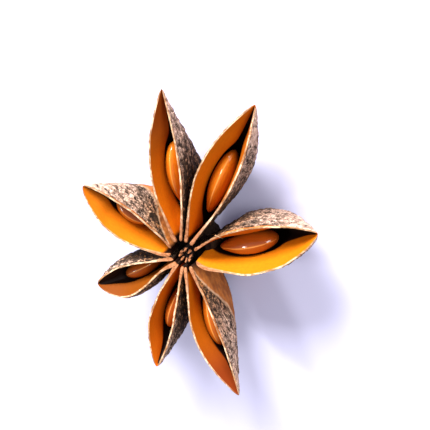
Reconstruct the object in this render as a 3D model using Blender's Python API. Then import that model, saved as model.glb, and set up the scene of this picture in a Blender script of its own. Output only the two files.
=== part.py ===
"""Star anise pod: seven boat-shaped follicles fused round a short central column.

Each follicle has dried and split open along its upper seam, and holds one loose seed in a snug pocket.
The pod lies open side up on the floor plane z = 0, and the origin is under the middle of its outline.
Lengths are written in millimetres and angles in degrees, and are turned into metres and radians where used.
"""

import math
from collections import namedtuple

import bmesh
import bpy
from mathutils import Matrix, Vector

MM = 0.001

# ---------------------------------------------------------------- driving dimensions
SEAM_HEIGHT = 7.9  # the seams' inner ends above the floor
RING_RADIUS = 1.6  # the round gap that the seams' inner ends leave at the centre
RING_HALF_WIDTH = 0.62  # half the width of a follicle at that gap
LEAST_AT_RING = 0.32  # what a widely parted lip keeps there
ROUNDED_BY = 0.14  # from the gap to here the inner end loses the gap's roundness
SIDE_GAP = 0.1  # what stays free between a follicle and the plane it shares with its neighbour
SPARE_GAP = 62  # a missing neighbour leaves a follicle no more room than this angle
FUSED_TO = 1.4  # neighbours are fused from the central gap to here
FUSED_OVERLAP = 0.1  # how far each reaches over the shared plane where they are fused
LIPS_APART = 0.2  # how far a fused lip stays back from the wall under it
ROLL_PIVOT = 2.5  # a leaning follicle turns about a line this far under its seam
PIVOT_MOST = 0.4  # or, where it is shallow, this share of its depth under the seam

# Along a follicle, places are shares of its length, from the central gap to the beak.
DEEPEST_AT = 0.38
RING_DEPTH_SHARE = 0.66  # depth at the central gap, as a share of the greatest depth
ROLLED_BY = 0.35  # from the gap to here a follicle takes on its full lean
SEED_HALF_LENGTH = 0.235
POCKET_HALF_LENGTH = 0.32

# Down a cross-section, places are shares of the depth there, from the seam to the keel.
SEED_TOP = 0.25
SEED_BOTTOM = 0.73
SEED_MIDDLE = (SEED_TOP + SEED_BOTTOM) / 2
GROOVE_EDGE = 0.34  # where the sloping flange meets the pocket, in the pocket's middle
GROOVE_EDGE_DROP = 1.5  # how fast that edge drops towards both ends
GROOVE_EDGE_DEEPEST = 0.74
GROOVE_FLOOR = 0.85

LIP = 0.28  # thickness of the wall's dried edge
LIP_THINS_BY = 0.4  # the share of that thickness lost on the way to the beak
LEAST_WALL = 0.6  # the thinnest a wall gets beside a groove, as a share of the lip's thickness
FULLNESS = 0.85  # below 1, the outer wall's swelling stays full for longer
SEED_CLEARANCE = 0.25

SWOLLEN = 0.85  # the share of its swell that the skin already has just under the lip
UNDER_LIP = 0.13
FLANGE_HOLLOW = 0.4  # halfway down, the flange has come this share of its way in; 0.5 for a straight one
# The lines of the wall between the seam and the keel, as (share of the greatest half-width, share of the
# depth): OUTSIDE is the skin. POCKET is the pocket's wall under the flange, with the second number counted
# from the flange's edge to the groove's floor instead.
OUTSIDE = ((1.0, 0.36), (0.86, 0.66), (0.5, 0.91))
POCKET = ((0.97, 0.5), (0.66, 0.84))
LIP_ROUNDING = 0.01  # the lip's inner edge lies this share of the depth under its outer edge

# The turned core, as (radius, height over the floor): stalk scar, waist, shoulder, pit and column.
CORE = ((0.5, 2.7), (1.35, 2.25), (1.9, 2.05), (2.6, 2.1), (3.1, 2.7), (3.1, 3.8), (2.9, 4.9), (2.5, 5.5),
        (1.9, 5.7), (1.4, 5.0), (0.85, 4.5), (0.62, 4.8), (0.6, 5.7), (0.68, 6.7), (0.82, 7.68), (0.6, 7.7),
        (0.38, 6.9))
SCAR_MIDDLE = 2.75
COLUMN_MIDDLE = 7.05
COLUMN_STARTS = 4.75
PIT_RADIUS = 1.0  # all that is inside this and higher than the column's start belongs to the column
COLUMN_LEAN = (0.02, -0.125)  # how far the column leans for each millimetre up
CROWN_STARTS = 6.5  # above this height the column is cut into teeth
TEETH = 8
TOOTH_DEPTH = 0.16

STATIONS = 15  # cross-sections along a follicle
SEED_RINGS = 10
SEED_SIDES = 14
CORE_SIDES = 32

# A seed is an egg: these shares of its width are lost at both ends, and at the inner end besides.
ENDS_SLIMMER = 0.14
INNER_END_SLIMMER = 0.1
SEED_AXIS = 0.6  # the pocket's direction is taken between two places this share of a half-length out

# Directions are counted from +X, anticlockwise seen from above. root is where the seam starts on the
# central gap and tip is where it ends; rise is the tip's height over the seam's inner end; arch is how
# far the seam bows up between, and sway how far it bows to the left; roll leans the opening over to the
# left; gap and opening are how far the lips part at the centre and, at widest, the most; blunt is under 1
# where they close late at the tip; beak says how the keel rises to the tip, with 1 for straight; bulges
# are how far the left and right walls swell past their lips, at fullest; groove is how wide the groove is
# before and beyond the seed, as a share of the opening; pocket is half the pocket's width, and seed_at
# and seed_aside are where the seed lies, along and to the left.
Follicle = namedtuple("Follicle", "root tip length rise arch sway roll gap opening widest blunt depth beak "
                      "bulges fullest groove pocket seed_at seed_aside")
FOLLICLES = (
    Follicle(root=106, tip=90, length=20.3, rise=0.4, arch=0.9, sway=0.42, roll=-3, gap=0.24, opening=3.2,
             widest=0.5, blunt=1.0, depth=8.9, beak=0.95, bulges=(0.25, 0.35), fullest=0.4, groove=0.16,
             pocket=1.5, seed_at=0.385, seed_aside=0.0),
    Follicle(root=62, tip=61, length=21.4, rise=-0.8, arch=0.7, sway=0.4, roll=-2, gap=0.16, opening=3.9,
             widest=0.53, blunt=1.0, depth=8.55, beak=1.25, bulges=(0.1, 0.8), fullest=0.64, groove=0.2,
             pocket=1.5, seed_at=0.38, seed_aside=0.0),
    Follicle(root=6, tip=15.5, length=17.5, rise=0.2, arch=0.6, sway=-0.6, roll=3, gap=1.25, opening=4.5,
             widest=0.5, blunt=0.75, depth=8.6, beak=1.9, bulges=(0.7, 0.5), fullest=0.54, groove=0.36,
             pocket=1.62, seed_at=0.33, seed_aside=-0.2),
    Follicle(root=172, tip=144.5, length=13.9, rise=1.2, arch=0.7, sway=0.5, roll=3, gap=0.44, opening=3.9,
             widest=0.52, blunt=0.75, depth=8.85, beak=1.25, bulges=(0.5, 1.1), fullest=0.58, groove=0.2,
             pocket=1.54, seed_at=0.48, seed_aside=0.0),
    Follicle(root=218, tip=203, length=12.5, rise=0.8, arch=0.5, sway=0.85, roll=-7, gap=0.16, opening=3.4,
             widest=0.66, blunt=0.8, depth=8.2, beak=1.25, bulges=(0.6, 0.8), fullest=0.55, groove=0.28,
             pocket=1.32, seed_at=0.53, seed_aside=-0.45),
    Follicle(root=248, tip=253, length=15.4, rise=1.5, arch=0.6, sway=-0.45, roll=-4, gap=0.24, opening=2.7,
             widest=0.56, blunt=0.85, depth=8.8, beak=1.7, bulges=(0.4, 0.7), fullest=0.55, groove=0.44,
             pocket=1.32, seed_at=0.5, seed_aside=0.0),
    Follicle(root=282, tip=288, length=18.3, rise=0.8, arch=0.5, sway=-1.1, roll=6, gap=0.24, opening=2.9,
             widest=0.54, blunt=1.0, depth=8.6, beak=1.25, bulges=(0.4, 0.3), fullest=0.48, groove=0.2,
             pocket=1.44, seed_at=0.44, seed_aside=0.0),
)


def clear_scene():
    for thing in list(bpy.data.objects):
        bpy.data.objects.remove(thing)


def plain_material(name, colour, roughness):
    material = bpy.data.materials.new(name)
    material.use_nodes = True
    shader = material.node_tree.nodes["Principled BSDF"]
    shader.inputs["Base Color"].default_value = (*colour, 1.0)
    shader.inputs["Roughness"].default_value = roughness
    shader.inputs["Metallic"].default_value = 0.0
    return material


def mesh_object(name, shape, material):
    """Turns a finished bmesh into an object shaded smooth, with its normals facing out."""
    bmesh.ops.recalc_face_normals(shape, faces=shape.faces)
    mesh = bpy.data.meshes.new(name)
    shape.to_mesh(mesh)
    shape.free()
    mesh.materials.append(material)
    mesh.shade_smooth()
    thing = bpy.data.objects.new(name, mesh)
    bpy.context.scene.collection.objects.link(thing)
    return thing


def combine(body, tool, operation):
    """Joins the tool to the body, or cuts it away, and removes the tool."""
    modifier = body.modifiers.new("combine", "BOOLEAN")
    modifier.operation = operation
    modifier.object = tool
    bpy.context.view_layer.update()
    evaluated = body.evaluated_get(bpy.context.evaluated_depsgraph_get())
    combined = bpy.data.meshes.new_from_object(evaluated)
    body.modifiers.clear()
    body.data = combined
    bpy.data.objects.remove(tool)


# ---------------------------------------------------------------- one follicle
def polar(radius, degrees):
    turn = math.radians(degrees)
    return Vector((radius * math.cos(turn), radius * math.sin(turn), 0.0))


def axes_of(follicle):
    """The follicle's own axes: +X from its seam's inner end to its tip, +Z up, origin on the seam."""
    start = polar(RING_RADIUS, follicle.root)
    along = polar(follicle.length, follicle.tip) - start
    turn = Matrix.Rotation(math.atan2(along.y, along.x), 4, "Z")
    return Matrix.Translation(start + Vector((0, 0, SEAM_HEIGHT))) @ turn, along.length


def room_beside(follicle, side):
    """How fast the space beside a follicle widens outwards, as the tangent of half the neighbour's angle."""
    turns = [((other.tip - follicle.tip) * side) % 360 for other in FOLLICLES if other is not follicle]
    return math.tan(math.radians(min(min(turns), SPARE_GAP) / 2))


def seam_height(follicle, share):
    return follicle.rise * share**2 + follicle.arch * 4 * share * (1 - share)


def depth(follicle, share):
    """From the seam down to the keel."""
    if share < DEEPEST_AT:
        grown = math.sin(math.pi / 2 * share / DEEPEST_AT)
        return follicle.depth * (RING_DEPTH_SHARE + (1 - RING_DEPTH_SHARE) * grown)
    past = (share - DEEPEST_AT) / (1 - DEEPEST_AT)
    return follicle.depth * (1 - past**follicle.beak)


def hump(share, top):
    """Grows from 0 at the centre to 1 at the top, and falls back to 0 at the beak."""
    return math.sin(math.pi * share ** (math.log(0.5) / math.log(top)))


def swell(follicle, share):
    return hump(share, follicle.widest) ** follicle.blunt


def half_opening(follicle, share):
    return follicle.gap / 2 * (1 - share) + follicle.opening / 2 * swell(follicle, share)


def roll_at(follicle, share):
    return math.radians(follicle.roll) * math.sin(math.pi / 2 * min(share / ROLLED_BY, 1.0))


def blend(a, b, share):
    return a + (b - a) * share


def half_section(follicle, share, run, side):
    """Half the wall's outer and inner line from the lip down, as (across, share of the depth)."""
    lip = LIP * (1 - LIP_THINS_BY * share**3)
    fused = max(1 - share * run / FUSED_TO, 0.0)
    at_ring = max(RING_HALF_WIDTH, follicle.gap / 2 + LEAST_AT_RING)
    room = at_ring + room_beside(follicle, side) * run * share - blend(SIDE_GAP, -FUSED_OVERLAP, fused)
    opened = half_opening(follicle, share)
    swollen = opened + lip + follicle.bulges[side < 0] * hump(share, follicle.fullest) ** FULLNESS
    rim = blend(min(opened + lip, room), room - LIPS_APART, fused)
    belly = blend(min(swollen, room), room, fused)
    inner = min(opened, rim - LEAST_WALL * lip)

    from_seed = share - follicle.seed_at
    hollow = math.sqrt(max(1 - (from_seed / POCKET_HALF_LENGTH) ** 2, 0.0))
    pocket = follicle.pocket + side * follicle.seed_aside
    groove = min(blend(inner * follicle.groove, pocket, hollow), belly - LEAST_WALL * lip)
    edge = min(GROOVE_EDGE + GROOVE_EDGE_DROP * from_seed**2, GROOVE_EDGE_DEEPEST)

    outside = [(rim, 0.0), (blend(rim, belly, SWOLLEN), UNDER_LIP)]
    outside += [(part * belly, down) for part, down in OUTSIDE]
    inside = [(inner, LIP_ROUNDING), (blend(inner, groove, FLANGE_HOLLOW), edge / 2), (groove, edge)]
    inside += [(part * groove, blend(edge, GROOVE_FLOOR, down)) for part, down in POCKET]
    return [[(side * across, down) for across, down in line] for line in (outside, inside)]


def spot(follicle, share, run, across, down):
    """A place in the bowed and leaning follicle, in its own axes."""
    deep = depth(follicle, share)
    pivot = min(ROLL_PIVOT, PIVOT_MOST * deep)
    leaned = Matrix.Rotation(-roll_at(follicle, share), 2) @ Vector((across, pivot - down * deep))
    middle = follicle.sway * swell(follicle, share)
    round_end = RING_RADIUS - math.sqrt(max(RING_RADIUS**2 - across**2, 0.0))
    forward = share * run - round_end * max(1 - share / ROUNDED_BY, 0.0)
    return Vector((forward, middle + leaned.x, seam_height(follicle, share) - pivot + leaned.y))


def section(follicle, share, run):
    """The wall's outer and inner line at one station, each from the left lip to the right one."""
    left_outside, left_inside = half_section(follicle, share, run, 1)
    right_outside, right_inside = half_section(follicle, share, run, -1)
    outside = left_outside + [(0.0, 1.0)] + right_outside[::-1]
    inside = left_inside + [(0.0, GROOVE_FLOOR)] + right_inside[::-1]
    return [
        [spot(follicle, share, run, across, down) for across, down in line] for line in (outside, inside)
    ]


def follicle_shape(follicle):
    """A boat-shaped wall: cross-sections joined from the central gap to the pointed beak."""
    place, run = axes_of(follicle)
    shape = bmesh.new()
    rings = []
    for station in range(STATIONS):
        lines = section(follicle, station / STATIONS, run)
        rings.append([[shape.verts.new(place @ point) for point in line] for line in lines])
    beak = shape.verts.new(place @ Vector((run, 0.0, seam_height(follicle, 1.0))))
    outlines = [outside + inside[::-1] for outside, inside in rings]
    for ring, following in zip(outlines, outlines[1:]):
        for i in range(len(ring)):
            j = (i + 1) % len(ring)
            shape.faces.new((ring[i], ring[j], following[j], following[i]))
    last = outlines[-1]
    for i in range(len(last)):
        shape.faces.new((last[i], last[(i + 1) % len(last)], beak))
    outside, inside = rings[0]
    for i in range(len(outside) - 1):
        shape.faces.new((outside[i], inside[i], inside[i + 1], outside[i + 1]))
    return shape


# ---------------------------------------------------------------- the whole husk
def core_middle(radius, height):
    """The middle of the core at this height: the column inside the pit leans a little."""
    up = max(height - COLUMN_STARTS, 0.0) if radius < PIT_RADIUS else 0.0
    return Vector((COLUMN_LEAN[0] * up, COLUMN_LEAN[1] * up, height))


def core_shape():
    """The turned core that joins the follicles: a stalk scar below, a short toothed column above."""
    shape = bmesh.new()
    rings = []
    for radius, height in CORE:
        ring = []
        for i in range(CORE_SIDES):
            turn = 360 * i / CORE_SIDES
            tooth = TOOTH_DEPTH * math.cos(math.radians(TEETH * turn)) if height > CROWN_STARTS else 0.0
            ring.append(shape.verts.new(core_middle(radius, height) + polar((1 + tooth) * radius, turn)))
        rings.append(ring)
    for ring, following in zip(rings, rings[1:]):
        for i in range(CORE_SIDES):
            j = (i + 1) % CORE_SIDES
            shape.faces.new((ring[i], ring[j], following[j], following[i]))
    for ring, height in ((rings[0], SCAR_MIDDLE), (rings[-1], COLUMN_MIDDLE)):
        middle = shape.verts.new(core_middle(0.0, height))
        for i in range(CORE_SIDES):
            shape.faces.new((ring[i], ring[(i + 1) % CORE_SIDES], middle))
    return shape


def below_floor():
    """A cube whose top is the floor plane, wider than the pod."""
    width = 4 * max(follicle.length for follicle in FOLLICLES)
    shape = bmesh.new()
    bmesh.ops.create_cube(shape, size=width, matrix=Matrix.Translation((0.0, 0.0, -width / 2)))
    return shape


def pod_husk(material):
    """All follicles joined to the core as one solid, with flat spots where the keels stand on the floor."""
    husk = mesh_object("pod", core_shape(), material)
    for follicle in FOLLICLES:
        combine(husk, mesh_object("follicle_tool", follicle_shape(follicle), material), "UNION")
    combine(husk, mesh_object("floor_tool", below_floor(), material), "DIFFERENCE")
    husk.data.shade_smooth()
    return husk


# ---------------------------------------------------------------- seeds
def seed(name, follicle, material):
    """A flattened egg standing on edge in its pocket, with the blunt end outwards."""
    place, run = axes_of(follicle)
    inner_end, outer_end = (
        spot(follicle, follicle.seed_at + step * SEED_HALF_LENGTH, run, follicle.seed_aside, SEED_MIDDLE)
        for step in (-SEED_AXIS, SEED_AXIS)
    )
    along = (outer_end - inner_end).normalized()
    upright = spot(follicle, follicle.seed_at, run, 0.0, 0.0) - spot(follicle, follicle.seed_at, run, 0.0, 1.0)
    across = upright.cross(along).normalized()
    turned = Matrix((along, across, along.cross(across))).transposed().to_4x4()
    half_height = (SEED_BOTTOM - SEED_TOP) / 2 * depth(follicle, follicle.seed_at)
    half_size = Vector((SEED_HALF_LENGTH * run, follicle.pocket - SEED_CLEARANCE, half_height))
    shape = bmesh.new()
    bmesh.ops.create_uvsphere(shape, u_segments=SEED_SIDES, v_segments=SEED_RINGS, radius=1.0)
    for vertex in shape.verts:
        x, y, z = vertex.co.z, vertex.co.y, vertex.co.x
        slimmer = 1 - ENDS_SLIMMER * x**2 + INNER_END_SLIMMER * min(x, 0.0)
        vertex.co = half_size * Vector((x, y * slimmer, z * slimmer))
    where = place @ Matrix.Translation((inner_end + outer_end) / 2) @ turned
    bmesh.ops.transform(shape, matrix=where, verts=shape.verts)
    return mesh_object(name, shape, material)


def settle(things):
    """Sets the pieces in metres, with the origin under the middle of the whole outline, at the floor."""
    corners = [vertex.co for thing in things for vertex in thing.data.vertices]
    low = [min(corner[axis] for corner in corners) for axis in range(3)]
    high = [max(corner[axis] for corner in corners) for axis in range(3)]
    shift = Vector((-(low[0] + high[0]) / 2, -(low[1] + high[1]) / 2, -low[2]))
    for thing in things:
        thing.data.transform(Matrix.Scale(MM, 4) @ Matrix.Translation(shift))


def build():
    clear_scene()
    husk_material = plain_material("dry_husk", (0.30, 0.16, 0.08), 0.75)
    seed_material = plain_material("polished_seed", (0.45, 0.15, 0.03), 0.25)
    things = [pod_husk(husk_material)]
    for number, follicle in enumerate(FOLLICLES, start=1):
        things.append(seed(f"seed_{number}", follicle, seed_material))
    settle(things)


build()
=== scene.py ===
import math
from collections import namedtuple

import bmesh
import bpy
from mathutils import Matrix, Vector, noise


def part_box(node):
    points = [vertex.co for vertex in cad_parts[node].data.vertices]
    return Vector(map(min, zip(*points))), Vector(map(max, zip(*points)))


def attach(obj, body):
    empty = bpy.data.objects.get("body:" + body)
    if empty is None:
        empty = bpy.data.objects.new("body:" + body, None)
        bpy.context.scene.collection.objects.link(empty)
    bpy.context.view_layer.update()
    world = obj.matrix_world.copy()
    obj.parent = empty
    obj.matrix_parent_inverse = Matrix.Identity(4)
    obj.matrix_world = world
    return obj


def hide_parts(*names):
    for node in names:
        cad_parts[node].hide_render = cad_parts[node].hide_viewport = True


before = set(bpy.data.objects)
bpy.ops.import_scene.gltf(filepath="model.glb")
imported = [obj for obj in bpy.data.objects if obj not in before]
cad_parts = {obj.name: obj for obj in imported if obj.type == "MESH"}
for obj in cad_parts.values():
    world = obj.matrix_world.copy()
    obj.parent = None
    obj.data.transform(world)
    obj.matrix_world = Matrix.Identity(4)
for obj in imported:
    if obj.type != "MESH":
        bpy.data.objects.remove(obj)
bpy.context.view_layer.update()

MM = 0.001  # pieces are made on the bench in millimetres, and brought to metres when they are done

# ---------------------------------------------------------------- the pod
# Directions are counted from +X, anticlockwise seen from above. root is where the seam starts on the
# central gap and tip is where it ends; rise is the tip's height over the seam's inner end; arch is how
# far the seam bows up between, and sway how far it bows to the left; roll leans the opening over to the
# left; gap and opening are how far the lips part at the centre and at their widest; pocket is half the
# pocket's width.
# Of the last five columns, the first paints each side's lining yellower where it is lit and near black where it lies
# in shade, the second darkens the lining towards the tip, the third is how far each side's pressed face reaches, the
# fourth is how far out painted shade darkens each side's skin, and the fifth is painted shade on the seed.
Follicle = namedtuple("Follicle", "root tip length rise arch sway roll gap opening widest blunt depth beak "
                      "bulges fullest groove pocket seed_at seed_aside golden burnt pressed sooty ripe")
FOLLICLES = (
    Follicle(root=106, tip=90, length=20.3, rise=0.4, arch=0.9, sway=0.42, roll=-3, gap=0.24, opening=3.2,
             widest=0.5, blunt=1.0, depth=8.9, beak=0.95, bulges=(0.25, 0.35), fullest=0.4, groove=(0.02, 0.3),
             pocket=1.38, seed_at=0.385, seed_aside=0.0, golden=(0.15, 0.5),
             burnt=0.8, pressed=(0.0, 0.0), sooty=(0.3, 0.8), ripe=0.0),
    Follicle(root=62, tip=61, length=21.4, rise=-0.8, arch=0.7, sway=0.4, roll=-2, gap=0.16, opening=3.9,
             widest=0.53, blunt=1.0, depth=8.55, beak=1.25, bulges=(0.1, 0.8), fullest=0.64, groove=(0.02, 0.4),
             pocket=1.38, seed_at=0.38, seed_aside=-0.12, golden=(0.3, -0.3),
             burnt=0.1, pressed=(0.0, 0.0), sooty=(0.4, 0.7), ripe=0.0),
    Follicle(root=0, tip=15.5, length=17.5, rise=0.2, arch=0.6, sway=-0.6, roll=3, gap=1.25, opening=4.5,
             widest=0.5, blunt=0.75, depth=8.6, beak=1.9, bulges=(0.7, 0.5), fullest=0.54, groove=(0.5, 0.34),
             pocket=1.5, seed_at=0.33, seed_aside=-0.2, golden=(0.2, 0.6),
             burnt=0.0, pressed=(0.0, 0.0), sooty=(0.22, 0.0), ripe=0.8),
    Follicle(root=172, tip=144.5, length=13.9, rise=1.2, arch=0.7, sway=0.5, roll=3, gap=0.44, opening=3.9,
             widest=0.52, blunt=0.75, depth=8.85, beak=1.25, bulges=(0.5, 1.1), fullest=0.58, groove=(0.12, 0.5),
             pocket=1.42, seed_at=0.48, seed_aside=0.0, golden=(0.15, -0.5),
             burnt=0.0, pressed=(0.0, 0.85), sooty=(0.3, 0.0), ripe=0.6),
    Follicle(root=218, tip=203, length=12.5, rise=0.8, arch=0.5, sway=0.85, roll=-7, gap=0.16, opening=3.4,
             widest=0.66, blunt=0.8, depth=8.2, beak=1.25, bulges=(0.6, 0.8), fullest=0.55, groove=(0.22, 0.5),
             pocket=1.2, seed_at=0.53, seed_aside=-0.45, golden=(-0.6, -1.0),
             burnt=0.3, pressed=(0.0, 0.0), sooty=(0.2, 1.4), ripe=0.9),
    Follicle(root=248, tip=253, length=15.4, rise=1.5, arch=0.6, sway=-0.45, roll=-4, gap=0.24, opening=2.7,
             widest=0.56, blunt=0.85, depth=8.8, beak=1.7, bulges=(0.4, 0.7), fullest=0.55, groove=(0.44, 0.4),
             pocket=1.2, seed_at=0.5, seed_aside=0.0, golden=(0.2, -0.12),
             burnt=0.2, pressed=(0.0, 0.0), sooty=(1.3, 0.2), ripe=0.75),
    Follicle(root=282, tip=288, length=18.3, rise=0.8, arch=0.5, sway=-1.1, roll=6, gap=0.24, opening=2.9,
             widest=0.54, blunt=1.0, depth=8.6, beak=1.25, bulges=(0.4, 0.3), fullest=0.48, groove=(0.3, 0.12),
             pocket=1.32, seed_at=0.44, seed_aside=0.0, golden=(0.0, 0.0),
             burnt=1.0, pressed=(0.74, 0.0), sooty=(0.0, 0.3), ripe=0.5),
)
TOP_FOLLICLE = FOLLICLES[0]
RIGHT_FOLLICLE = FOLLICLES[2]

SEAM_HEIGHT = 7.9
RING_RADIUS = 1.6
RING_HALF_WIDTH = 0.62
SIDE_GAP = 0.06
SPARE_GAP = 62
FUSED_TO = 1.4
FUSED_OVERLAP = -0.03
LIPS_APART = 0.13
LEAST_AT_RING = 0.32
ROLL_PIVOT = 2.5
PIVOT_MOST = 0.4
DEEPEST_AT = 0.38
RING_DEPTH_SHARE = 0.66
ROLLED_BY = 0.35
ROUNDED_BY = 0.14
SEED_HALF_LENGTH = 0.235
POCKET_HALF_LENGTH = 0.28
SEED_TOP = 0.23
SEED_BOTTOM = 0.74
SEED_CLEARANCE = 0.1
LIP = 0.24
LIP_SWOLLEN = 0.7
LEAST_WALL = 0.7
EDGE_DEPTH = 0.35
EDGE_DROP = 1.6
EDGE_DEEPEST = 0.76
FLOOR_DEPTH = 0.84
WAVE = 0.2
WAVES_PER_MM = 0.42

# Where the rings stand along a follicle, as shares of its length.
STATIONS = (0.0, 0.03, 0.08, 0.14, 0.2, 0.27, 0.34, 0.41, 0.48, 0.55, 0.62, 0.69, 0.76, 0.83, 0.89, 0.94, 0.975)
# A ring's points are counted from the keel up the left skin, over the lip, down the left lining to the
# groove's floor, and back the same way on the right.
SIDE_LINES = 17
RING_POINTS = 2 * SIDE_LINES + 2
FLOOR_LINE = SIDE_LINES + 1
SKIN = ((0.32, 0.97), (0.6, 0.885), (0.82, 0.75), (0.95, 0.59), (1.0, 0.43), (0.98, 0.28))
SKIN_LIP_LINE = len(SKIN) + 3
SKIN_WEIGHTS = {SKIN_LIP_LINE - 1: 0.7, SKIN_LIP_LINE: 0.4, SKIN_LIP_LINE + 1: 0.2}  # the lip is less wrinkled
# How dark each line of the lining is, from just under the lip down to the groove's floor.
SHADE = (0.0, 0.0, 0.0, 0.0, 0.3, 0.9, 1.0, 1.0, 1.0)


def polar(radius, degrees):
    turn = math.radians(degrees)
    return Vector((radius * math.cos(turn), radius * math.sin(turn), 0.0))


def hub_place():
    """The pod's centre on the floor: the box's right side and far side are two follicles' tips."""
    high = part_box("pod")[1] / MM
    right = polar(RIGHT_FOLLICLE.length, RIGHT_FOLLICLE.tip).x
    far = polar(TOP_FOLLICLE.length, TOP_FOLLICLE.tip).y
    return Vector((high.x - right, high.y - far, 0.0))


HUB = hub_place()


def axes_of(follicle):
    start = polar(RING_RADIUS, follicle.root)
    along = polar(follicle.length, follicle.tip) - start
    turn = Matrix.Rotation(math.atan2(along.y, along.x), 4, "Z")
    return Matrix.Translation(HUB + start + Vector((0, 0, SEAM_HEIGHT))) @ turn, along.length


def turned_by(follicle):
    """How much farther out the left lip starts than the middle, for each millimetre across."""
    along = polar(follicle.length, follicle.tip) - polar(RING_RADIUS, follicle.root)
    return math.tan(math.atan2(along.y, along.x) - math.radians(follicle.root))


def room_beside(follicle, side):
    turns = [((other.tip - follicle.tip) * side) % 360 for other in FOLLICLES if other is not follicle]
    return math.tan(math.radians(min(min(turns), SPARE_GAP) / 2))


def seam_height(follicle, share):
    return follicle.rise * share**2 + follicle.arch * 4 * share * (1 - share)


def depth(follicle, share):
    if share < DEEPEST_AT:
        grown = math.sin(math.pi / 2 * share / DEEPEST_AT)
        return follicle.depth * (RING_DEPTH_SHARE + (1 - RING_DEPTH_SHARE) * grown)
    past = (share - DEEPEST_AT) / (1 - DEEPEST_AT)
    return follicle.depth * (1 - past**follicle.beak)


def swell(follicle, share):
    peak = math.log(0.5) / math.log(follicle.widest)
    return math.sin(math.pi * share**peak) ** follicle.blunt


def half_opening(follicle, share):
    return follicle.gap / 2 * (1 - share) + follicle.opening / 2 * swell(follicle, share)


def pocketness(follicle, share):
    """1 in the middle of the seed's pocket, 0 before and beyond it."""
    across = (share - follicle.seed_at) / POCKET_HALF_LENGTH
    return math.sqrt(max(1 - across**2, 0.0))


def spot(follicle, share, run, across, down):
    deep = depth(follicle, share)
    pivot = min(ROLL_PIVOT, PIVOT_MOST * deep)
    roll = math.radians(follicle.roll) * math.sin(math.pi / 2 * min(share / ROLLED_BY, 1.0))
    leaned = Matrix.Rotation(-roll, 2) @ Vector((across, pivot - down * deep))
    middle = follicle.sway * swell(follicle, share)
    rounded = RING_RADIUS - math.sqrt(max(RING_RADIUS**2 - across**2, 0)) - across * turned_by(follicle)
    rounded *= max(1 - share / ROUNDED_BY, 0.0)
    return Vector((share * run - rounded, middle + leaned.x, seam_height(follicle, share) - pivot + leaned.y))


def blend(a, b, share):
    return a + (b - a) * share


def side_of_ring(follicle, share, run, side):
    """One side's points from just over the keel to just before the floor, as (across, share of the depth)."""
    lip = LIP * (1 - 0.3 * share**3) * (1 + LIP_SWOLLEN * max(1 - share / 0.25, 0.0))
    fused = max(1 - share * run / FUSED_TO, 0.0)
    at_ring = max(RING_HALF_WIDTH, follicle.gap / 2 + LEAST_AT_RING)
    room = at_ring + room_beside(follicle, side) * run * share - blend(SIDE_GAP, FUSED_OVERLAP, fused)
    wave = WAVE * noise.noise(Vector((share * run * WAVES_PER_MM, follicle.root, side))) * swell(follicle, share)
    half = half_opening(follicle, share) + wave
    rim = min(half + lip, room)
    fullness = math.sin(math.pi * share ** (math.log(0.5) / math.log(follicle.fullest))) ** 0.85
    belly = min(half_opening(follicle, share) + lip + follicle.bulges[side < 0] * fullness, room)
    rim = blend(rim, room - LIPS_APART, fused)
    belly = blend(belly, room, fused)
    inner = min(half, rim - 0.75 * lip)
    points = [(part * belly, down) for part, down in SKIN]
    points += [(blend(rim, belly, 0.6), 0.13), (blend(rim, belly, 0.2), 0.035), (rim, 0.0)]
    hollow = pocketness(follicle, share)
    aside = follicle.seed_aside * side
    edge = min(EDGE_DEPTH + EDGE_DROP * (share - follicle.seed_at) ** 2, EDGE_DEEPEST)
    bottom = inner * follicle.groove[side < 0]
    wall = min(blend(bottom, follicle.pocket * 0.88 + aside, hollow), belly - LEAST_WALL * lip)
    points += [(inner, 0.004), (blend(inner, wall, 0.06), 0.04)]
    points += [(blend(inner, wall, 0.36), 0.36 * edge), (blend(inner, wall, 0.82), 0.84 * edge)]
    points += [(wall, edge)]
    under = min(blend(bottom, follicle.pocket + aside, hollow), belly - LEAST_WALL * lip)
    for part, fallen in ((1.0, 0.12), (0.92, 0.55), (0.55, 0.87)):
        points.append((part * under, blend(edge, FLOOR_DEPTH, fallen)))
    return points


def ring_section(follicle, share, run):
    left = side_of_ring(follicle, share, run, 1)
    right = [(-across, down) for across, down in side_of_ring(follicle, share, run, -1)]
    return [(0.0, 1.0)] + left + [(0.0, FLOOR_DEPTH)] + right[::-1]


# ---------------------------------------------------------------- the bench
def to_object_mode():
    if bpy.context.mode != "OBJECT":
        bpy.ops.object.mode_set(mode="OBJECT")


def clear_bench():
    """Nothing is selected, so that an operator reaches only the piece being made."""
    to_object_mode()
    bpy.ops.object.select_all(action="DESELECT")


def edit(piece):
    bpy.context.view_layer.objects.active = piece
    piece.select_set(True)
    bpy.ops.object.mode_set(mode="EDIT")
    return bmesh.from_edit_mesh(piece.data)


def pick(shape, chosen):
    """Selects these points, and the edges and faces between them, and nothing else."""
    bpy.ops.mesh.select_mode(type="VERT")
    for point in shape.verts:
        point.select_set(False)
    for point in chosen:
        point.select_set(True)
    shape.select_flush(True)


def pull(shape, point, place):
    """Moves one point to its place."""
    for other in shape.verts:
        other.select_set(False)
    point.select_set(True)
    bpy.ops.transform.translate(value=place - point.co)


def apply_modifier(piece, kind, **settings):
    modifier = piece.modifiers.new(kind, kind)
    for name, value in settings.items():
        setattr(modifier, name, value)
    bpy.context.view_layer.objects.active = piece
    bpy.ops.object.modifier_apply(modifier=modifier.name)


def smooth_out(piece, levels):
    apply_modifier(piece, "SUBSURF", levels=levels, render_levels=levels)


def relief(name, kind, size, **settings):
    texture = bpy.data.textures.new(name, kind)
    texture.noise_scale = size
    for setting, value in settings.items():
        setattr(texture, setting, value)
    return texture


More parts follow.
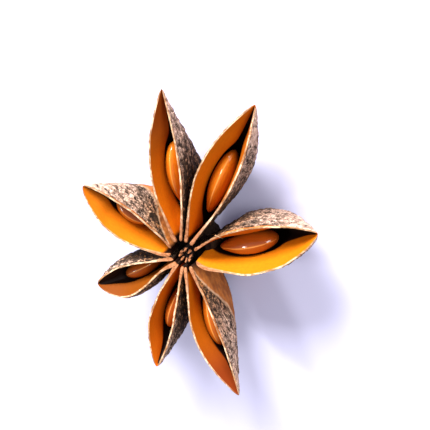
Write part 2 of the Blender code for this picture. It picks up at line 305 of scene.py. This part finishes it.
def bring_to_place(piece, place):
    """Moves a finished piece from the bench to its place, in metres, and settles its transform."""
    clear_bench()
    piece.select_set(True)
    bpy.context.view_layer.objects.active = piece
    piece.matrix_world = Matrix.Scale(MM, 4) @ place
    bpy.ops.object.transform_apply(location=True, rotation=True, scale=True)
    bpy.ops.object.shade_smooth()


def finish_piece(piece, material, node):
    piece.data.materials.clear()
    piece.data.materials.append(material)
    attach(piece, "root")
    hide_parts(node)


# ---------------------------------------------------------------- a follicle
def follicle_piece(number, follicle):
    place, run = axes_of(follicle)
    clear_bench()
    bpy.ops.mesh.primitive_circle_add(vertices=RING_POINTS, radius=follicle.opening / 2,
                                      rotation=(0.0, math.pi / 2, 0.0))
    bpy.ops.object.transform_apply(location=True, rotation=True, scale=True)
    piece = bpy.context.object
    piece.name = f"follicle_{number}"
    lines = piece.data.attributes.new("line", "INT", "POINT")
    keel = RING_POINTS * 3 // 4
    for index, line in enumerate(lines.data):
        line.value = (index - keel) % RING_POINTS
    shape = edit(piece)
    for station, share in enumerate(STATIONS):
        if station:
            bpy.ops.mesh.extrude_region_move()
            shape = bmesh.from_edit_mesh(piece.data)
        layer = shape.verts.layers.int["line"]
        ring = sorted((point for point in shape.verts if point.select), key=lambda point: point[layer])
        for point, (across, down) in zip(ring, ring_section(follicle, share, run)):
            pull(shape, point, spot(follicle, share, run, across, down))
        pick(shape, ring)
    bpy.ops.mesh.extrude_region_move()
    bpy.ops.mesh.merge(type="CENTER")
    shape = bmesh.from_edit_mesh(piece.data)
    beak = next(point for point in shape.verts if point.select)
    pull(shape, beak, Vector((run, 0.0, seam_height(follicle, 1.0))))
    close_root(piece)
    crease_lips(piece)
    bpy.ops.mesh.select_all(action="SELECT")
    bpy.ops.mesh.normals_make_consistent(inside=False)
    mark_zones(piece, follicle, run)
    smooth_out(piece, 3)
    wrinkle(piece, number)
    bring_to_place(piece, place)
    return piece


DOWN = (1.0,) + tuple(down for _, down in SKIN) + (0.13, 0.035, 0.0)


def close_root(piece):
    """Closes the wall's inner end with faces from the skin to the lining."""
    shape = bmesh.from_edit_mesh(piece.data)
    layer = shape.verts.layers.int["line"]
    shape.verts.ensure_lookup_table()
    ring = {point[layer]: point for point in shape.verts if point.is_boundary}
    quads = []
    for outer in range(1, SKIN_LIP_LINE):
        inner = RING_POINTS // 2 + 1 - outer
        quads.append((outer, outer + 1, inner - 1, inner))
    mirrored = [tuple((-line) % RING_POINTS for line in quad) for quad in quads]
    for quad in [(0, 1, FLOOR_LINE, RING_POINTS - 1)] + quads + mirrored:
        pick(shape, [ring[line] for line in quad])
        bpy.ops.mesh.edge_face_add()
        shape = bmesh.from_edit_mesh(piece.data)


def crease_lips(piece):
    shape = bmesh.from_edit_mesh(piece.data)
    layer = shape.verts.layers.int["line"]
    lips = {SKIN_LIP_LINE, SKIN_LIP_LINE + 1, RING_POINTS - SKIN_LIP_LINE, RING_POINTS - SKIN_LIP_LINE - 1}
    bpy.ops.mesh.select_mode(type="EDGE")
    for edge in shape.edges:
        ends = {point[layer] for point in edge.verts}
        edge.select_set(len(ends) == 1 and ends <= lips)
    bpy.ops.transform.edge_crease(value=0.5)
    bpy.ops.mesh.select_mode(type="VERT")


def mark_zones(piece, follicle, run):
    """Writes where on the follicle each point is, for the wrinkles and the colours."""
    to_object_mode()
    mesh = piece.data
    lines = [line.value for line in mesh.attributes["line"].data]
    mesh.attributes.remove(mesh.attributes["line"])
    sides = [line > RING_POINTS // 2 for line in lines]
    lines = [min(line, RING_POINTS - line) for line in lines]
    shares = [max(min(vertex.co.x / run, 1.0), 0.0) for vertex in mesh.vertices]
    skin = piece.vertex_groups.new(name="skin")
    for index, line in enumerate(lines):
        weight = SKIN_WEIGHTS.get(line, 1.0 if line < SKIN_LIP_LINE else 0.0)
        reach = follicle.pressed[sides[index]]
        if line < len(DOWN) and reach * DOWN[line] ** PRESSED_CURVE > shares[index]:
            weight *= PRESSED_SMOOTH
        weight *= min((1 - shares[index]) / CALM_TIP, 1.0)
        skin.add([index], weight, "REPLACE")
    outside = [float(line < SKIN_LIP_LINE) if share < 1 else 0.35 for line, share in zip(lines, shares)]
    write_zone(mesh, "outside", outside)
    lip = [float(line in (SKIN_LIP_LINE, SKIN_LIP_LINE + 1)) for line in lines]
    write_zone(mesh, "lip", [on_lip if share < 1 else 0.7 for on_lip, share in zip(lip, shares)])
    write_zone(mesh, "along", shares)
    write_zone(mesh, "shade", [SHADE[line - SKIN_LIP_LINE - 1] if line > SKIN_LIP_LINE else 0.0 for line in lines])
    write_zone(mesh, "down", [DOWN[line] if line < len(DOWN) else 0.0 for line in lines])
    write_zone(mesh, "pressed", [follicle.pressed[side] for side in sides])
    # painted light and shade: each side's lining is painted yellower where that side is lit and near black where it
    # lies in shade
    write_zone(mesh, "golden", [follicle.golden[side] for side in sides])
    # the lining is painted darker towards the tip, more on some follicles
    write_zone(mesh, "burnt", [follicle.burnt] * len(lines))
    # painted shade on each side's skin next to the centre, where the neighbouring follicles shade it
    sooty = [follicle.sooty[side] for side in sides]
    write_zone(mesh, "soot", [max(1 - share / reach, 0.0) if reach else 0.0 for share, reach in zip(shares, sooty)])
    write_own_place(mesh, SQUEEZED)


SQUEEZED = 0.5
PRESSED_SMOOTH = 0.25
CALM_TIP = 0.12  # the share of the length, next to the beak, over which the wrinkles die out
PRESSED_CURVE = 0.75


def write_zone(mesh, name, values):
    zone = mesh.attributes.new(name, "FLOAT", "POINT")
    zone.data.foreach_set("value", values)


def write_own_place(mesh, squeezed):
    """Keeps each point's place on the bench, squeezed along the piece, for patterns that run lengthwise."""
    own = mesh.attributes.new("own_place", "FLOAT_VECTOR", "POINT")
    values = [number for vertex in mesh.vertices for number in (vertex.co.x * squeezed, vertex.co.y, vertex.co.z)]
    own.data.foreach_set("vector", values)


def wrinkle(piece, number):
    folds = relief("folds", "VORONOI", 1.5 + number / 15, distance_metric="DISTANCE", weight_1=-1.0, weight_2=1.0)
    knots = relief("knots", "CLOUDS", 0.55, noise_depth=1)
    grain = relief("grain", "VORONOI", 0.34, distance_metric="DISTANCE", weight_1=-1.0, weight_2=1.0)
    for texture, strength, level in ((folds, 0.26, 0.4), (knots, 0.3, 0.5), (grain, 0.12, 0.3)):
        apply_modifier(piece, "DISPLACE", texture=texture, vertex_group="skin", strength=strength,
                       mid_level=level, texture_coords="LOCAL")


# ---------------------------------------------------------------- seeds
# A seed narrows towards its inner end in steps: everything short of each place is made that much slimmer.
SEED_TAPER = ((0.3, 0.98), (0.1, 0.97), (-0.1, 0.95), (-0.3, 0.93), (-0.5, 0.92), (-0.7, 0.9), (-0.85, 0.88))


def seed_piece(number, follicle):
    place, run = axes_of(follicle)
    inner_end, outer_end = (
        spot(follicle, follicle.seed_at + step * SEED_HALF_LENGTH, run, follicle.seed_aside,
             (SEED_TOP + SEED_BOTTOM) / 2)
        for step in (-0.6, 0.6)
    )
    along = (outer_end - inner_end).normalized()
    upright = spot(follicle, follicle.seed_at, run, 0, 0) - spot(follicle, follicle.seed_at, run, 0, 1)
    across = upright.cross(along).normalized()
    turned = Matrix((along, across, along.cross(across))).transposed().to_4x4()
    half_height = (SEED_BOTTOM - SEED_TOP) / 2 * depth(follicle, follicle.seed_at)
    half_size = (SEED_HALF_LENGTH * run, follicle.pocket - SEED_CLEARANCE, half_height)
    clear_bench()
    bpy.ops.mesh.primitive_uv_sphere_add(segments=24, ring_count=16, radius=1.0,
                                         rotation=(0.0, math.pi / 2, 0.0))
    bpy.ops.object.transform_apply(location=True, rotation=True, scale=True)
    piece = bpy.context.object
    piece.name = f"seed_kernel_{number}"
    shape = edit(piece)
    pick(shape, [point for point in shape.verts if abs(point.co.y) < 0.01 and point.co.z > 0])
    bpy.ops.transform.resize(value=(1.0, 1.0, 1.06))
    bpy.ops.transform.edge_crease(value=0.3)
    for reach, narrowed in SEED_TAPER:
        pick(shape, [point for point in shape.verts if point.co.x < reach])
        bpy.ops.transform.resize(value=(1.0, narrowed, narrowed), center_override=(0.0, 0.0, 0.0))
    bpy.ops.mesh.select_all(action="SELECT")
    bpy.ops.transform.resize(value=half_size)
    to_object_mode()
    mesh = piece.data
    write_own_place(mesh, 0.12)
    write_zone(mesh, "ridge", [float(abs(vertex.co.y) < 0.01 and vertex.co.z > 0) for vertex in mesh.vertices])
    # painted shade on the seeds that lie in shade
    write_zone(mesh, "ripe", [follicle.ripe] * len(mesh.vertices))
    smooth_out(piece, 2)
    bring_to_place(piece, place @ Matrix.Translation((inner_end + outer_end) / 2) @ turned)
    return piece


# ---------------------------------------------------------------- the core
CORE_SIDES = 48
TEETH = 8
SCAR_MIDDLE = 2.75
# The core's outline from the stalk scar below, round the shoulder, down the pit and up the column, as
# (radius, height over the floor, share of painted shade in the pit).
CORE = ((0.5, 2.7, 0.6), (1.0, 2.55, 0.5), (1.35, 2.25, 0.3), (1.9, 2.05, 0.1), (2.5, 2.1, 0.1), (2.8, 2.7, 0.1),
        (2.7, 3.8, 0.2), (2.4, 4.9, 0.5), (2.0, 5.5, 1.0), (1.75, 5.7, 1.0), (1.4, 5.0, 1.0), (0.85, 4.5, 1.0),
        (0.62, 4.8, 1.0), (0.6, 5.7, 1.0), (0.68, 6.7, 0.8), (0.8, 7.3, 0.3), (0.82, 7.68, 0.0),
        (0.66, 7.72, 0.0), (0.5, 7.5, 0.3), (0.38, 6.9, 1.0), (0.2, 6.8, 0.8))
COLUMN_MIDDLE = 7.05
COLUMN_STARTS = 4.75
CROWN_STARTS = 7.2
TOOTH_RISE = 0.6
COLUMN_LEAN = (0.02, -0.125)  # how far the column leans for each millimetre up


def core_piece():
    clear_bench()
    bpy.ops.mesh.primitive_circle_add(vertices=CORE_SIDES, radius=CORE[0][0], location=(0, 0, CORE[0][1]))
    piece = bpy.context.object
    piece.name = "core"
    bpy.ops.object.transform_apply(location=True, rotation=True, scale=True)
    edit(piece)
    for (radius, height, _), (wider, higher, _) in zip(CORE, CORE[1:]):
        bpy.ops.mesh.extrude_region_move(TRANSFORM_OT_translate={"value": (0, 0, higher - height)})
        bpy.ops.transform.resize(value=(wider / radius, wider / radius, 1.0), center_override=(0, 0, higher))
    close_at(piece, COLUMN_MIDDLE)
    shape = bmesh.from_edit_mesh(piece.data)
    pick(shape, [point for point in shape.verts if point.is_boundary])
    close_at(piece, SCAR_MIDDLE)
    bpy.ops.mesh.select_all(action="SELECT")
    bpy.ops.mesh.normals_make_consistent(inside=False)
    to_object_mode()
    mesh = piece.data
    darkness = {round(height, 3): dark for _, height, dark in CORE}
    darkness = [darkness.get(round(vertex.co.z, 3), 0.0) for vertex in mesh.vertices]
    edit(piece)
    low = cut_teeth(piece)
    lean_column(piece)
    to_object_mode()
    skin = piece.vertex_groups.new(name="skin")
    for vertex in mesh.vertices:
        skin.add([vertex.index], 1.0 if vertex.co.z < 4 else 0.25, "REPLACE")
    write_zone(mesh, "outside", [1.0] * len(mesh.vertices))
    # painted shade: the pit and the gaps between the crown's teeth are painted near black
    write_zone(mesh, "pit", [1.0 if vertex.index in low else dark for vertex, dark in zip(mesh.vertices, darkness)])
    teeth = []
    for vertex, dark in zip(mesh.vertices, darkness):
        on_top = vertex.co.z > CROWN_STARTS or vertex.co.z == COLUMN_MIDDLE
        teeth.append(0.87 if on_top and vertex.index not in low and dark < 0.5 else 0.0)
    write_zone(mesh, "lip", teeth)
    write_own_place(mesh, 1.0)
    smooth_out(piece, 2)
    wrinkle(piece, 0)
    bring_to_place(piece, Matrix.Translation(HUB))
    return piece


def close_at(piece, height):
    """Closes the open ring that is selected with a pole at this height."""
    bpy.ops.mesh.extrude_region_move()
    bpy.ops.mesh.merge(type="CENTER")
    shape = bmesh.from_edit_mesh(piece.data)
    pole = next(point for point in shape.verts if point.select)
    pull(shape, pole, Vector((0.0, 0.0, height)))


def cut_teeth(piece):
    """Cuts the crown's edge down between its teeth, and gives the points that were lowered."""
    shape = bmesh.from_edit_mesh(piece.data)
    low = []
    for point in shape.verts:
        turn = math.atan2(point.co.y, point.co.x)
        if point.co.z > CROWN_STARTS and math.cos(TEETH * turn) < 0.0:
            low.append(point)
    pick(shape, low)
    bpy.ops.transform.translate(value=(0.0, 0.0, -TOOTH_RISE))
    return {point.index for point in low}


def lean_column(piece):
    shape = bmesh.from_edit_mesh(piece.data)
    column = [point for point in shape.verts if point.co.z > COLUMN_STARTS and point.co.xy.length < 1]
    for height in sorted({round(point.co.z, 3) for point in column}):
        pick(shape, [point for point in column if round(point.co.z, 3) == height])
        up = height - COLUMN_STARTS
        bpy.ops.transform.translate(value=(COLUMN_LEAN[0] * up, COLUMN_LEAN[1] * up, 0.0))


# ---------------------------------------------------------------- a splinter torn up from the third follicle's lip
SPLINTER_FROM = Vector((4.6, 3.2, 8.35))
SPLINTER_TO = Vector((5.65, 2.98, 8.5))
SPLINTER_RADIUS = 0.09


def splinter_piece():
    clear_bench()
    lying = SPLINTER_TO - SPLINTER_FROM
    bpy.ops.mesh.primitive_cone_add(vertices=8, radius1=SPLINTER_RADIUS, radius2=0.0, depth=lying.length,
                                    location=(0.0, 0.0, lying.length / 2))
    piece = bpy.context.object
    piece.name = "splinter"
    bpy.ops.object.transform_apply(location=True, rotation=True, scale=True)
    for name, value in (("outside", 1.0), ("lip", 1.0), ("along", 0.4)):
        write_zone(piece.data, name, [value] * len(piece.data.vertices))
    write_own_place(piece.data, 1.0)
    bring_to_place(piece, Matrix.Translation(HUB + SPLINTER_FROM) @ lying.to_track_quat("Z", "Y").to_matrix().to_4x4())
    return piece


# ---------------------------------------------------------------- finishes
class Finish:
    """A material under construction, with its nodes reading places in millimetres."""

    def __init__(self, name):
        self.material = bpy.data.materials.new(name)
        self.material.use_nodes = True
        self.tree = self.material.node_tree
        self.shader = self.tree.nodes["Principled BSDF"]
        place = self.tree.nodes.new("ShaderNodeTexCoord")
        scaled = self.tree.nodes.new("ShaderNodeMapping")
        scaled.inputs["Scale"].default_value = (1 / MM,) * 3
        self.link(place.outputs["Object"], scaled.inputs["Vector"])
        self.place = scaled.outputs["Vector"]

    def link(self, source, target):
        self.tree.links.new(source, target)

    def give(self, socket, value):
        if hasattr(value, "is_output"):
            self.link(value, socket)
        else:
            socket.default_value = value

    def node(self, kind, **inputs):
        made = self.tree.nodes.new(kind)
        for name, value in inputs.items():
            self.give(made.inputs[name.replace("_", " ")], value)
        return made

    def noise(self, scale, detail=3.0, roughness=0.5, vector=None, distortion=0.0):
        made = self.node("ShaderNodeTexNoise", Scale=scale, Detail=detail, Roughness=roughness,
                         Distortion=distortion, Vector=vector or self.place)
        return made.outputs["Fac"]

    def cells(self, scale, feature="DISTANCE_TO_EDGE", vector=None):
        made = self.node("ShaderNodeTexVoronoi")
        made.feature = feature
        self.give(made.inputs["Scale"], scale)
        self.give(made.inputs["Vector"], vector or self.place)
        return made.outputs["Distance"]

    def warped(self, scale, amount):
        """The place, pushed about by a slow noise, so that what is drawn on it curls."""
        made = self.node("ShaderNodeTexNoise", Scale=1 / scale / 4, Detail=2.0, Vector=self.place)
        pushed = self.node("ShaderNodeVectorMath")
        pushed.operation = "MULTIPLY_ADD"
        self.link(made.outputs["Color"], pushed.inputs[0])
        pushed.inputs[1].default_value = (amount * scale,) * 3
        self.link(self.place, pushed.inputs[2])
        return pushed.outputs["Vector"]

    def own_place(self):
        made = self.tree.nodes.new("ShaderNodeAttribute")
        made.attribute_name = "own_place"
        return made.outputs["Vector"]

    def shifted(self, vector, by):
        moved = self.node("ShaderNodeMapping", Vector=vector)
        moved.inputs["Location"].default_value = (by,) * 3
        return moved.outputs["Vector"]

    def zone(self, name):
        made = self.tree.nodes.new("ShaderNodeAttribute")
        made.attribute_name = name
        return made.outputs["Fac"]

    def math(self, operation, first, second=0.0, clamp=False):
        made = self.tree.nodes.new("ShaderNodeMath")
        made.operation = operation
        made.use_clamp = clamp
        self.give(made.inputs[0], first)
        self.give(made.inputs[1], second)
        return made.outputs["Value"]

    def ranged(self, value, low, high, to_low=0.0, to_high=1.0):
        made = self.tree.nodes.new("ShaderNodeMapRange")
        made.interpolation_type = "SMOOTHSTEP"
        for name, number in (("From Min", low), ("From Max", high), ("To Min", to_low), ("To Max", to_high)):
            made.inputs[name].default_value = number
        self.give(made.inputs["Value"], value)
        return made.outputs["Result"]

    def mixed(self, share, first, second, kind="MIX"):
        made = self.tree.nodes.new("ShaderNodeMix")
        made.data_type = "RGBA"
        made.blend_type = kind
        self.give(made.inputs["Factor"], share)
        for socket, value in ((made.inputs[6], first), (made.inputs[7], second)):
            self.give(socket, (*value, 1.0) if isinstance(value, tuple) else value)
        return made.outputs[2]

    def between(self, share, first, second):
        made = self.tree.nodes.new("ShaderNodeMix")
        self.give(made.inputs["Factor"], share)
        self.give(made.inputs["A"], first)
        self.give(made.inputs["B"], second)
        return made.outputs["Result"]

    def bump(self, height, strength, distance):
        made = self.node("ShaderNodeBump", Height=height, Strength=strength, Distance=distance * MM)
        self.link(made.outputs["Normal"], self.shader.inputs["Normal"])


def husk_finish():
    finish = Finish("dried_husk")
    outside = finish.ranged(finish.zone("outside"), 0.4, 0.6)
    lip = finish.zone("lip")
    along = finish.zone("along")
    down = finish.zone("down")
    # painted shade: the skin below the lip goes dark towards the centre, where the neighbouring follicles shade it
    soot = finish.math("MULTIPLY", finish.zone("soot"), finish.ranged(down, 0.03, 0.2))
    own = finish.own_place()
    coarse = finish.noise(0.5, 3.0, 0.6, own)
    patches = finish.noise(1.1, 4.0, 0.65, own)
    flecks = finish.noise(3.0, 5.0, 0.8, own)
    pits = finish.noise(2.6, 4.0, 0.8, finish.shifted(own, 31.0))
    curls = finish.cells(2.3, vector=finish.warped(0.3, 2.4))
    # the skin: warm brown near the middle, then greyish beige, and pale pink towards the tips
    outward = finish.math("ADD", finish.math("MULTIPLY", along, 0.75), finish.math("MULTIPLY", coarse, 0.5))
    outward = finish.math("SUBTRACT", outward, finish.math("MULTIPLY", soot, 0.25))
    skin = finish.mixed(finish.ranged(outward, 0.3, 0.8), (0.36, 0.13, 0.045), (0.46, 0.28, 0.20))
    skin = finish.mixed(finish.ranged(patches, 0.46, 0.54, 0.0, 0.8), skin, (0.12, 0.072, 0.045))
    flakes = finish.mixed(finish.ranged(outward, 0.3, 0.8), (0.62, 0.26, 0.075), (0.70, 0.48, 0.37))
    skin = finish.mixed(finish.ranged(flecks, 0.49, 0.56, 0.0, 0.9), skin, flakes)
    skin = finish.mixed(finish.ranged(outward, 0.86, 1.1, 0.0, 0.6), skin, (0.68, 0.46, 0.37))
    sunk = finish.math("SUBTRACT", pits, finish.math("MULTIPLY", outward, 0.22))
    sunk = finish.math("ADD", sunk, finish.math("MULTIPLY", soot, 0.16))
    dark = finish.ranged(sunk, 0.35, 0.41, 0.0, 0.94)
    ringed = finish.math("MULTIPLY", finish.ranged(curls, 0.02, 0.1, 0.7, 0.0), finish.ranged(outward, 0.7, 1.0, 1.0, 0.1))
    dark = finish.math("MAXIMUM", dark, ringed)
    dark = finish.math("MAXIMUM", dark, finish.ranged(soot, 0.3, 0.9, 0.0, 0.9))
    ochre = finish.math("MULTIPLY", finish.ranged(flecks, 0.55, 0.62), finish.ranged(soot, 0.2, 0.5))
    dark = finish.math("SUBTRACT", dark, finish.math("MULTIPLY", ochre, 0.7), clamp=True)
    # where a neighbour pressed against it the skin is smooth and orange brown, up to a light ridge
    reach = finish.zone("pressed")
    grown = finish.math("MULTIPLY", reach, finish.math("POWER", down, PRESSED_CURVE))
    grown = finish.math("ADD", finish.math("SUBTRACT", grown, along), finish.math("MULTIPLY", patches, 0.06))
    grown = finish.math("SUBTRACT", grown, finish.ranged(down, 0.72, 0.98))
    pressed = finish.ranged(grown, 0.03, 0.05)
    ridge = finish.math("MULTIPLY", finish.ranged(grown, 0.0, 0.03), finish.ranged(grown, 0.03, 0.06, 1.0, 0.0))
    rubbed = finish.mixed(finish.ranged(patches, 0.35, 0.65), (0.52, 0.155, 0.026), (0.27, 0.068, 0.013))
    rubbed = finish.mixed(finish.ranged(outward, 0.65, 1.0, 0.0, 0.35), rubbed, (0.50, 0.25, 0.17))
    rubbed = finish.mixed(finish.ranged(flecks, 0.4, 0.6, 0.0, 0.3), rubbed, (0.10, 0.035, 0.015))
    skin = finish.mixed(finish.math("MULTIPLY", dark, finish.math("SUBTRACT", 1.0, pressed)), skin, (0.016, 0.010, 0.007))
    skin = finish.mixed(finish.math("MULTIPLY", pressed, 0.9), skin, rubbed)
    skin = finish.mixed(finish.math("MULTIPLY", ridge, 0.7), skin, (0.72, 0.42, 0.24))
    # painted shade: the core's pit and the follicles' inner ends next to the centre are painted near black
    pit_and_root_shade = finish.math("MAXIMUM", finish.ranged(finish.zone("pit"), 0.1, 0.7), finish.ranged(along, 0.0, 0.07, 0.95, 0.0))
    skin = finish.mixed(pit_and_root_shade, skin, (0.010, 0.005, 0.004))
    # the lining: amber, darker towards some tips, and painted shade near black where the groove is deep and at the
    # inner end; each side is also painted yellower where lit and near black where shaded
    # painted light: a lit side's lining is painted a yellower amber
    golden = finish.zone("golden")
    lining = finish.mixed(finish.math("MAXIMUM", golden, 0.0), (0.58, 0.135, 0.002), (0.64, 0.20, 0.004))
    fibres = finish.noise(4.5, 2.0, 0.6, own)
    lining = finish.mixed(finish.ranged(fibres, 0.3, 0.7, 0.0, 0.22), lining, (0.36, 0.075, 0.002))
    # the lining goes darker towards the tip, more on some follicles
    burnt = finish.math("MULTIPLY", finish.zone("burnt"), finish.ranged(along, 0.35, 0.85))
    lining = finish.mixed(burnt, lining, (0.20, 0.03, 0.004))
    # painted shade: a shaded side's lining is painted near black
    lining = finish.mixed(finish.math("MULTIPLY", golden, -1.0, clamp=True), lining, (0.012, 0.004, 0.002))
    # painted shade at the lining's inner end next to the centre, kept off a side that is painted as lit
    root = finish.ranged(along, 0.02, 0.09, 0.9, 0.0)
    root = finish.math("MULTIPLY", root, finish.ranged(golden, 0.5, 0.6, 1.0, 0.1))
    shade = finish.math("MAXIMUM", finish.zone("shade"), root)
    lining = finish.mixed(finish.ranged(shade, 0.35, 0.9), lining, (0.008, 0.002, 0.001))
    colour = finish.mixed(outside, lining, skin)
    # the torn lip: cream and tan with dark flecks, and flesh coloured at the middle
    torn = finish.mixed(finish.ranged(patches, 0.38, 0.62), (0.40, 0.19, 0.075), (0.80, 0.58, 0.38))
    torn = finish.mixed(finish.ranged(flecks, 0.48, 0.58, 0.0, 0.8), torn, (0.20, 0.085, 0.035))
    flesh = finish.mixed(finish.ranged(flecks, 0.42, 0.58), (0.26, 0.09, 0.03), (0.50, 0.21, 0.10))
    near_root = finish.ranged(along, 0.08, 0.25, 1.0, 0.0)
    torn = finish.mixed(near_root, torn, flesh)
    torn = finish.mixed(finish.ranged(along, 0.9, 0.97, 0.0, 0.7), torn, (0.20, 0.085, 0.035))
    edge = finish.math("ADD", lip, finish.math("MULTIPLY", near_root, 0.5))
    colour = finish.mixed(finish.ranged(edge, 0.7, 0.96), colour, torn)
    finish.link(colour, finish.shader.inputs["Base Color"])
    finish.link(finish.between(outside, 0.6, 0.85), finish.shader.inputs["Roughness"])
    finish.shader.inputs["Specular IOR Level"].default_value = 0.1
    rough = finish.math("SUBTRACT", finish.math("MULTIPLY", flecks, 1.5), dark)
    rough = finish.math("MULTIPLY", rough, finish.math("SUBTRACT", outside, pressed, clamp=True))
    finish.bump(rough, 0.7, 0.16)
    return finish.material


def seed_finish():
    finish = Finish("polished_seed")
    own = finish.own_place()
    cloud = finish.noise(0.8, 3.0, 0.5, own)
    streaks = finish.noise(4.0, 2.0, 0.6, own)
    colour = finish.mixed(finish.ranged(cloud, 0.35, 0.7), (0.54, 0.125, 0.003), (0.70, 0.20, 0.005))
    colour = finish.mixed(finish.ranged(streaks, 0.45, 0.65, 0.0, 0.5), colour, (0.36, 0.07, 0.003))
    # painted shade: seeds lying in shade are painted darker and redder
    colour = finish.mixed(finish.zone("ripe"), colour, (0.26, 0.045, 0.004))
    # painted highlight: the crest is painted a lighter orange along its length, as a sheen
    colour = finish.mixed(finish.ranged(finish.zone("ridge"), 0.6, 0.95, 0.0, 0.6), colour, (0.80, 0.34, 0.06))
    finish.link(colour, finish.shader.inputs["Base Color"])
    finish.shader.inputs["Roughness"].default_value = 0.5
    finish.shader.inputs["Specular IOR Level"].default_value = 0.1
    finish.shader.inputs["Coat Weight"].default_value = 1.0
    finish.shader.inputs["Coat Roughness"].default_value = 0.1
    return finish.material


# ---------------------------------------------------------------- the stage
VIEW_TURN = 45
VIEW_TILT = 36
CAMERA_DISTANCE = 160.0
FRAME_WIDTH = 49.02  # what the camera takes in across, at the pod's centre
AIM_RIGHT = 3.66
AIM_UP = 4.55


def camera():
    turn = math.radians(VIEW_TURN)
    tilt = Matrix.Rotation(math.radians(VIEW_TILT), 3, Vector((-math.sin(turn), math.cos(turn), 0.0)))
    right, up, back = (tilt @ Vector(axis) for axis in ((1, 0, 0), (0, 1, 0), (0, 0, 1)))
    aim = HUB + Vector((0, 0, SEAM_HEIGHT)) + AIM_RIGHT * right + AIM_UP * up
    bpy.ops.object.camera_add()
    eye = bpy.context.object
    eye.name = "camera"
    eye.data.lens = eye.data.sensor_width * CAMERA_DISTANCE / FRAME_WIDTH
    eye.data.clip_start = 10 * MM
    eye.data.clip_end = 5.0
    turned = Matrix((right, up, back)).transposed().to_4x4()
    eye.matrix_world = Matrix.Translation((aim + CAMERA_DISTANCE * back) * MM) @ turned
    bpy.context.scene.camera = eye


def stage():
    bpy.ops.mesh.primitive_plane_add(size=1.2)
    floor = bpy.context.object
    floor.name = "floor"
    finish = Finish("floor_paper")
    finish.shader.inputs["Base Color"].default_value = (0.64, 0.63, 0.82, 1.0)
    # painted light: the floor glows faintly blue, which lifts its shadows to lavender
    finish.shader.inputs["Emission Color"].default_value = (0.5, 0.5, 1.0, 1.0)
    finish.shader.inputs["Emission Strength"].default_value = 0.06
    finish.shader.inputs["Roughness"].default_value = 0.9
    floor.data.materials.append(finish.material)
    world = bpy.data.worlds.new("studio")
    world.use_nodes = True
    world.node_tree.nodes["Background"].inputs["Color"].default_value = (0.95, 0.93, 1.0, 1.0)
    world.node_tree.nodes["Background"].inputs["Strength"].default_value = 0.43
    bpy.context.scene.world = world
    softbox("key", Vector((-0.1, 0.93, 0.5)), 0.5, 0.2, 7.0)
    softbox("fill", Vector((0.75, 0.35, 0.55)), 0.5, 0.2, 1.4)
    softbox("glint", Vector((-0.58, 0.15, 0.8)), 0.5, 0.09, 0.8)


def softbox(name, direction, distance, size, power):
    bpy.ops.object.light_add(type="AREA")
    lamp = bpy.context.object
    lamp.name = name
    lamp.data.size = size
    lamp.data.energy = power
    lamp.matrix_world = (Matrix.Translation(direction.normalized() * distance)
                         @ direction.to_track_quat("Z", "Y").to_matrix().to_4x4())


def main():
    husk = husk_finish()
    kernel = seed_finish()
    finish_piece(core_piece(), husk, "pod")
    finish_piece(splinter_piece(), husk, "pod")
    for number, follicle in enumerate(FOLLICLES, start=1):
        finish_piece(follicle_piece(number, follicle), husk, "pod")
        finish_piece(seed_piece(number, follicle), kernel, f"seed_{number}")
    stage()
    camera()
    bpy.context.scene.view_settings.view_transform = "Standard"


main()
